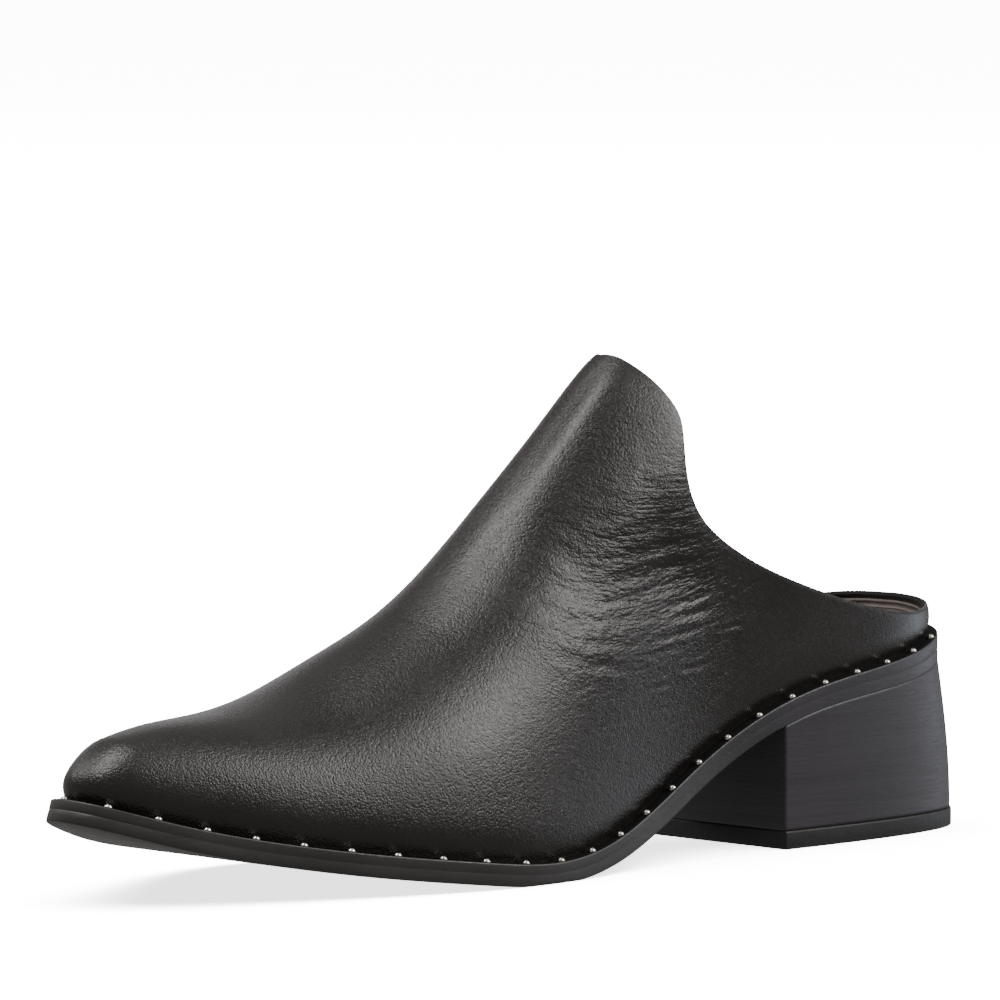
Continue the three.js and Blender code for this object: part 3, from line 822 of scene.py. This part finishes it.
# Heel section: the outline behind the breast, a straight front with rounded corners, run
# out backwards by the share of the flare
def heelLoop(height, flareShare, proud, inset):
    look = heelLook
    breastTurn = math.degrees(math.acos(1 - 2 * look["breastShare"]))
    breastX = look["breastShare"] * length
    frontX = breastX + proud - inset
    grow = np.linspace(0, 1, look["steps"] + 1)
    turn = breastTurn * (1 - (1 - grow) ** look["crowd"])
    baseX, y, _, _ = outlinePoint(np.r_[turn, 360 - turn[:0:-1]], inset - proud)
    runOut = look["flare"] * flareShare * np.maximum(0, 1 - baseX / breastX)
    x = np.minimum(baseX, frontX) - runOut
    corner = np.clip(1 - (frontX - x) / look["corner"], 0, 1)
    drawnIn = look["corner"] * (1 - np.sqrt(1 - corner**2))
    y = y * (1 - drawnIn / np.maximum(look["narrowest"], np.abs(y)))
    return np.stack([x, y, height(baseX)], -1)


# height of the underside of the sole band over x
def underHeel(x):
    return underSole(x, midsoleDepth(x) + shoe["gap"] + shoe["outsoleThick"])[1]


# Heel: sections from the lift up to the slope of the sole, the flare the sine of the way down
def buildHeel():
    look = heelLook
    foot = liftLook["thick"] + look["joint"]
    start = foot + look["edgeRise"]
    loops = [heelLoop(lambda x: foot + 0 * x, 1, 0, look["edge"])]
    for up in np.arange(look["levels"] + 1) / look["levels"]:
        loops.append(heelLoop(lambda x: start + up * (underHeel(x) - look["joint"] - start),
                              math.sin((1 - up) * math.pi / 2), 0, 0))
    return makePiece("heelBlock", *stackedForm(loops), ["heel"], "heel_stack")


# Lift: the same section at full flare, a little proud of the heel, with rounded edges
def buildLift():
    look = liftLook
    section = look["lower"] + tuple((look["thick"] - down, inset) for down, inset in look["upper"])
    loops = [heelLoop(lambda x: z + 0 * x, 1, look["proud"], inset) for z, inset in section]
    return makePiece("heelLift", *stackedForm(loops), ["heel_lift"], "lift_rubber")


heel = buildHeel()
lift = buildLift()

# The studs

studLook = {"count": 52, "radius": 1.08, "height": 0.95, "inset": 1.5, "phase": 0.19,
            "sides": 20, "rings": 7, "sunk": 0.02, "fullness": 0.9, "crown": 1.1}


# Studs stand at even steps of the ledge's own run, each square to the sole: its middle, the
# way forward and the way up
def studSeats():
    look = studLook
    x, y, _, _ = outlinePoint(np.arange(0, 360.001, 0.125), look["inset"])
    steps = np.diff(np.stack([x, y, topOfSole(x)]))
    run = np.r_[0, np.cumsum(np.sqrt((steps**2).sum(0)))]
    want = run[-1] / look["count"] * (np.arange(look["count"]) + look["phase"])
    x, y = np.interp(want, run, x), np.interp(want, run, y)
    slope = slopeOfSole(x)
    size, level = np.hypot(1, slope), 0 * slope
    seat = np.stack([x, y, topOfSole(x) - look["sunk"]], -1)
    fore = np.stack([1 / size, level, slope / size], -1)
    up = np.stack([-slope / size, level, 1 / size], -1)
    return seat, fore, up


# Stud: a low dome turned about its own axis, radius by the cosine and height by the sine
def buildStuds():
    look = studLook
    seat, fore, up = studSeats()
    rise = np.linspace(0, math.pi / 2, look["rings"])[:-1, None]
    spin = np.linspace(0, 2 * math.pi, look["sides"], endpoint=False)
    radius = look["radius"] * np.cos(rise) ** look["fullness"]
    high = look["height"] * np.sin(rise) ** look["crown"]
    forward, sideways = radius * np.cos(spin), radius * np.sin(spin)
    dome = (seat[:, None, None] + fore[:, None, None] * forward[None, :, :, None]
            + up[:, None, None] * high[None, :, :, None]
            + np.array([0, 1, 0]) * sideways[None, :, :, None])
    body = dome.reshape(look["count"], -1, 3)
    top, bottom = seat[:, None] + up[:, None] * look["height"], seat[:, None]
    points = np.concatenate([body, top, bottom], 1)
    sides, rings = look["sides"], look["rings"] - 1
    k = np.arange(sides)
    n = (k + 1) % sides
    ring = np.arange(rings - 1)[:, None] * sides
    walls = np.stack([ring + k, ring + n, ring + sides + n, ring + sides + k], -1).reshape(-1, 4)
    last, topPoint = (rings - 1) * sides, rings * sides
    crown = np.stack([last + k, last + n, 0 * k + topPoint], -1)
    base = np.stack([n, k, 0 * k + topPoint + 1], -1)
    each = (np.arange(look["count"]) * points.shape[1])[:, None, None]
    faces = ((each + walls).reshape(-1, 4).tolist()
             + (each + np.concatenate([crown, base])).reshape(-1, 3).tolist())
    names = ["stud_%02d" % (k + 1) for k in range(look["count"])]
    return makePiece("studs", points.reshape(-1, 3), faces, names, "stud_metal")


studs = buildStuds()

# Finishes

leatherLook = {
    "dark": 0.0072, "light": 0.0128, "warm": 0.13,
    "tone": (38.0, 4.0, 0.55),  # a noise: scale, detail and roughness
    "rough": 0.295, "roughPores": 0.26, "roughTone": 0.12,
    "pebbles": 1900.0, "pebbleSoft": 0.35, "smallPebbles": 1.9, "pores": 0.45,
    "grainMix": (-0.75, -0.35, 0.9),  # shares of pebbles, small pebbles and pores
    "grainDepth": 0.000125, "grainStrength": 0.80,
    "wide": (34.0, 7.0, 1.0), "fine": (88.0, 20.0, 1.0), "crumple": (110.0, 42.0, 1.0),
    "broad": (75.0, 3.0, 0.5),
    "wrinkleMix": (1.1, 0.75, -0.28, 0.14),  # shares of wide, fine, crumple and broad
    "wrinkleDepth": 0.00058, "wrinkleStrength": 0.85,
    # places in mm of the frame; each fade has its start and its length, negative backwards
    "quarter": (-25.0, -40.0), "quarterEven": 0.6,
    "tabFlat": 3.2, "tabShoulder": (-27.4, 118.4), "tabWay": (-0.727, -0.687), "tabOver": 24.0,
    "tabLow": (58.0, 34.0), "tabFront": (24.0, -44.0), "tabSide": (2.0, 8.0),
}


# Leather of the upper: dark tint, wrinkles by the fold map, pebbled grain over them
def upperLeather():
    look = leatherLook
    f = Finish("upperLeather")
    where = f.place()
    tone = f.noise(where, *look["tone"])
    colour = f.tint(tone, grey(look["dark"], look["warm"]), grey(look["light"], look["warm"]))
    # pebbled grain: rounded cells, smaller ones among them, and fine pores of noise
    pebble = f.softCells(where, look["pebbles"], look["pebbleSoft"])
    small = f.cells(where, look["pebbles"] * look["smallPebbles"])
    pores = f.noise(where, look["pebbles"] * look["pores"], 4.0, 0.6)
    ofPebble, ofSmall, ofPores = look["grainMix"]
    grain = pebble * ofPebble + small * ofSmall + pores * ofPores
    # wrinkles: noise drawn out along the folds, in three sizes
    folds = f.node("ShaderNodeUVMap", {"uv_map": "folds"}, {})
    mask = f.node("ShaderNodeAttribute", {"attribute_name": "wrinkle"}, {}, "Fac")
    wide = f.noise(f.stretched(folds, look["wide"]), 1.0, 3.0, 0.55)
    fine = f.noise(f.stretched(folds, look["fine"]), 1.0, 3.0, 0.6)
    crumple = f.cells(f.stretched(folds, look["crumple"]), 1.0)
    broad = f.noise(where, *look["broad"])
    ofWide, ofFine, ofCrumple, ofBroad = look["wrinkleMix"]
    wrinkles = (wide * ofWide + fine * ofFine + crumple * ofCrumple) * mask + broad * ofBroad
    # side of the tab: filled out behind its shoulder to lie flatter, even again below
    x, y, z = f.placeInMm()
    quarter = x.fade(*look["quarter"])
    (atX, atZ), (wayX, wayZ) = look["tabShoulder"], look["tabWay"]
    behind = (((x - atX) * wayX + (z - atZ) * wayZ) / look["tabOver"]).step()
    flat = behind * z.fade(*look["tabLow"]) * x.fade(*look["tabFront"]) * y.fade(*look["tabSide"])
    bumped = f.bump(flat * look["tabFlat"], 1.0, 0.001)
    bumped = f.bump(wrinkles, look["wrinkleStrength"], look["wrinkleDepth"], bumped)
    bumped = f.bump(grain * (1.0 - quarter * look["quarterEven"]), look["grainStrength"],
                    look["grainDepth"], bumped)
    rough = (look["rough"] + (pores - 0.5) * look["roughPores"]
             + (tone - 0.5) * look["roughTone"])
    return f.set(Base_Color=colour, Roughness=rough, Normal=bumped)


# Even finishes: scale, detail and roughness of the noise behind the tint and of the one
# behind the surface; roughness and its spread; strength and depth of the bump in metres
evenLooks = {
    "cutEdge": {
        "tone": (600.0, 3.0, 0.6), "surface": (600.0, 3.0, 0.6),
        "dark": grey(0.004), "light": grey(0.008),
        "rough": 0.72, "spread": 0.2, "bump": (0.3, 0.0001), "shine": 0.2},
    "liningLeather": {
        "tone": (60.0, 4.0, 0.6), "surface": (900.0, 3.0, 0.6),
        "dark": (0.120, 0.102, 0.092, 1), "light": (0.190, 0.164, 0.150, 1),
        "rough": 0.62, "spread": 0.2, "bump": (0.3, 0.0002), "shine": 0.5},
    # top of the ledge: the band's black paint, made darker and duller than its edge as painted
    # shade in the groove under the upper
    "ledgeTopPaintedShade": {
        "tone": (500.0, 3.0, 0.6), "surface": (500.0, 3.0, 0.6),
        "dark": grey(0.002), "light": grey(0.004),
        "rough": 0.65, "spread": 0.2, "bump": (0.3, 0.0001), "shine": 0.15},
    "insoleFinish": {
        "tone": (40.0, 4.0, 0.6), "surface": (1100.0, 3.0, 0.6),
        "dark": (0.030, 0.020, 0.015, 1), "light": (0.060, 0.041, 0.031, 1),
        "rough": 0.55, "spread": 0.2, "bump": (0.35, 0.0002), "shine": 0.5},
    "liftRubber": {
        "tone": (40.0, 3.0, 0.5), "surface": (700.0, 3.0, 0.6),
        "dark": grey(0.007), "light": grey(0.013),
        "rough": 0.55, "spread": 0.25, "bump": (0.3, 0.0002), "shine": 0.5},
}


# one noise for the tint, one for roughness and bump
def evenFinish(name):
    look = evenLooks[name]
    f = Finish(name)
    where = f.place()
    colour = f.tint(f.noise(where, *look["tone"]), look["dark"], look["light"])
    surface = f.noise(where, *look["surface"])
    f.set(Base_Color=colour, Specular_IOR_Level=look["shine"])
    return f.set(Roughness=look["rough"] + (surface - 0.5) * look["spread"],
                 Normal=f.bump(surface, *look["bump"]))


# the stained heel, and the edge of the sole band that runs from the heel's tint to grey
stackLook = {"dark": (0.026, 0.0245, 0.0285, 1), "light": (0.044, 0.042, 0.048, 1),
             "rough": 0.46, "spread": 0.2, "bump": (0.25, 0.0003),
             "layers": (26.0, 5.0, 0.6), "layerSqueeze": (0.5, 0.5, 20.0), "layerBump": 0.6,
             "grain": (130.0, 4.0, 0.6), "grainSqueeze": (1.0, 1.0, 14.0),
             "tone": (30.0, 3.0, 0.5), "tintMix": (0.6, 0.4)}  # shares of layers and tone
# grey of the band's edge: black paint raised in part as painted light, standing in for light
# bounced up from the floor
edgeLook = {"dark": grey(0.026, 0.02), "light": grey(0.042, 0.02), "rough": 0.42, "spread": 0.25,
            "bump": (0.25, 0.0003), "fibres": (160.0, 4.0, 0.6), "squeeze": (1.0, 1.0, 9.0),
            "tone": (55.0, 3.0, 0.5), "greyFade": (-65.0, 60.0)}  # mm along the frame's x


# Edge of the band: fibres drawn out along it, and a tint that changes from heel to waist, whose
# grey is partly painted light bounced up from the floor
def soleEdge():
    look = edgeLook
    f = Finish("soleEdge")
    where = f.place()
    fibres = f.noise(f.stretched(where, look["squeeze"]), *look["fibres"])
    tone = f.noise(where, *look["tone"])
    forward = f.placeInMm()[0].fade(*look["greyFade"])
    back, front = (f.tint(tone, item["dark"], item["light"]) for item in (stackLook, look))
    return f.set(Base_Color=f.mix(forward, back, front),
                 Roughness=look["rough"] + (fibres - 0.5) * look["spread"],
                 Normal=f.bump(fibres, *look["bump"]))


# Heel: thin level layers from noise squeezed upright
def heelStack():
    look = stackLook
    f = Finish("heelStack")
    where = f.place()
    layers = f.noise(f.stretched(where, look["layerSqueeze"]), *look["layers"])
    grain = f.noise(f.stretched(where, look["grainSqueeze"]), *look["grain"])
    tone = f.noise(where, *look["tone"])
    ofLayers, ofTone = look["tintMix"]
    stain = layers * ofLayers + tone * ofTone
    return f.set(Base_Color=f.tint(stain, look["dark"], look["light"]),
                 Roughness=look["rough"] + (grain - 0.5) * look["spread"],
                 Normal=f.bump(grain + layers * look["layerBump"], *look["bump"]))


metalLook = {"dark": (0.52, 0.50, 0.46, 1), "light": (0.70, 0.68, 0.64, 1),
             "worn": (900.0, 3.0, 0.6), "rough": 0.16, "spread": 0.12}


# Metal of the studs: tint and roughness change together over one fine noise
def studMetal():
    look = metalLook
    f = Finish("studMetal")
    worn = f.noise(f.place(), *look["worn"])
    return f.set(Base_Color=f.tint(worn, look["dark"], look["light"]), Metallic=1.0,
                 Roughness=look["rough"] + worn * look["spread"])


for piece, materials in (
        (upper, (upperLeather(), evenFinish("liningLeather"), evenFinish("cutEdge"))),
        (sole, (soleEdge(), evenFinish("ledgeTopPaintedShade"))),
        (insole, (evenFinish("insoleFinish"),)),
        (heel, (heelStack(),)),
        (lift, (evenFinish("liftRubber"),)),
        (studs, (studMetal(),))):
    for material in materials:
        piece.data.materials.append(material)
print("finishes assigned")

# Camera, floor and light

view = {"turn": 46.22, "height": 3.92, "distance": 1.700, "target": (138.7, 0.0, 87.0),
        "pixels": 7102.0, "frame": 1000, "sensor": 36.0}  # focal length in pixels of the frame


def addObject(name, data):
    item = bpy.data.objects.new(name, data)
    bpy.context.collection.objects.link(item)
    return item


# Camera: on a line from the target by its turn and height, looking back along it
def buildCamera():
    turn, height = math.radians(view["turn"]), math.radians(view["height"])
    away = Vector((math.cos(height) * math.cos(turn), math.cos(height) * math.sin(turn),
                   math.sin(height)))
    data = bpy.data.cameras.new("camera")
    data.sensor_width = view["sensor"]
    data.lens = view["pixels"] * view["sensor"] / view["frame"]
    data.clip_start, data.clip_end = 0.1, 100
    camera = addObject("camera", data)
    camera.location = Vector(toFrame(view["target"])) + away * view["distance"]
    camera.rotation_euler = away.to_track_quat("Z", "Y").to_euler()
    bpy.context.scene.camera = camera


buildCamera()

stageLook = {
    "floorColour": (0.90, 0.90, 0.90, 1),
    "size": 40.0,  # all in metres
    "behind": 14.0,  # distance to the upright part of the backdrop
    "round": 3.0,
    "top": 20.0,
    "bendSteps": 12,
    "glow": 2.6,
    "sunStrength": 60.0, "sunSpread": 100, "sunFrom": (-0.10, -0.12, 0.98),
    "worldColour": (1.0, 0.955, 0.94, 1),
    "worldStrength": 0.34,
}


# Floor: a flat sheet that turns up behind the shoe on a quarter circle, far from the camera
def buildFloor():
    look = stageLook
    turn = math.radians(view["turn"])
    back = np.array([-math.cos(turn), -math.sin(turn), 0])
    across = np.array([math.sin(turn), -math.cos(turn), 0])
    bend = np.linspace(0, math.pi / 2, look["bendSteps"] + 1)
    run = np.r_[-look["size"], look["behind"] + look["round"] * np.sin(bend),
                look["behind"] + look["round"]]
    rise = np.r_[0, look["round"] * (1 - np.cos(bend)), look["top"]]
    line = run[:, None] * back + rise[:, None] * np.array([0, 0, 1])
    points = np.concatenate([line - look["size"] * across, line + look["size"] * across])
    n = len(run)
    k = np.arange(n - 1)
    mesh = bpy.data.meshes.new("floor")
    mesh.from_pydata(points.tolist(), [], np.stack([k, k + 1, n + k + 1, n + k], -1).tolist())
    floor = addObject("floor", mesh)
    f = Finish("floorFinish")
    f.set(Base_Color=look["floorColour"], Roughness=0.8, Specular_IOR_Level=0.0)
    mesh.materials.append(f.set(Emission_Color=(1, 1, 1, 1), Emission_Strength=look["glow"]))
    floor.visible_glossy = False  # the leather mirrors the even world and not the lit sheet
    floor.visible_diffuse = False
    return floor


floor = buildFloor()

warmWhite = (1.0, 0.975, 0.955)
lightCentre = (0.0, 0.0, 0.06)
lights = {  # direction from the shoe, distance and size in metres, power in watts, roll
    "front": {"aim": (0.377, -0.152, 0.914), "away": 1.2, "size": (0.52, 0.80),
              "power": 12.0, "roll": 0, "colour": warmWhite},
    "right": {"aim": (-0.500, 0.570, 0.651), "away": 1.2, "size": (0.78, 0.62),
              "power": 11.5, "roll": -37, "colour": warmWhite},
    "nose": {"aim": (0.371, -0.729, 0.574), "away": 1.2, "size": (0.34, 0.30),
             "power": 2.0, "roll": 0, "colour": warmWhite},
    "heel": {"aim": (-0.98, 0.20, 0.0), "away": 1.3, "size": (0.55, 0.5),
             "power": 1.5, "roll": 0, "colour": (0.80, 0.87, 1.0)},
    "back": {"aim": (-0.637, -0.759, 0.139), "away": 1.6, "size": (1.4, 0.5),
             "power": 1.4, "roll": 0, "colour": (0.93, 0.94, 1.0)},
}


# Lights: each on its line from the shoe, facing it, rolled about that line
def buildAreaLights():
    for name, item in lights.items():
        data = bpy.data.lights.new(name, "AREA")
        data.shape = "RECTANGLE"
        data.size, data.size_y = item["size"]
        data.energy = item["power"]
        data.color = item["colour"]
        light = addObject(name, data)
        light.visible_camera = False
        aim = Vector(item["aim"])
        light.location = Vector(lightCentre) + aim * item["away"]
        roll = Quaternion((0, 0, 1), math.radians(item["roll"]))
        light.rotation_euler = (aim.to_track_quat("Z", "Y") @ roll).to_euler()


# the sun lights the sheet alone, so that it stays white, and the world gives the rest
def buildSunAndWorld():
    look = stageLook
    data = bpy.data.lights.new("sheetLight", "SUN")
    data.energy = look["sunStrength"]
    data.angle = math.radians(look["sunSpread"])
    sun = addObject("sheetLight", data)
    sun.rotation_euler = Vector(look["sunFrom"]).to_track_quat("Z", "Y").to_euler()
    sheet = bpy.data.collections.new("sheetOnly")
    sheet.objects.link(floor)
    sun.light_linking.receiver_collection = sheet
    world = bpy.data.worlds.new("studio")
    world.use_nodes = True
    background = world.node_tree.nodes["Background"]
    background.inputs["Color"].default_value = look["worldColour"]
    background.inputs["Strength"].default_value = look["worldStrength"]
    bpy.context.scene.world = world


buildAreaLights()
buildSunAndWorld()
print("camera, floor and lights in place")
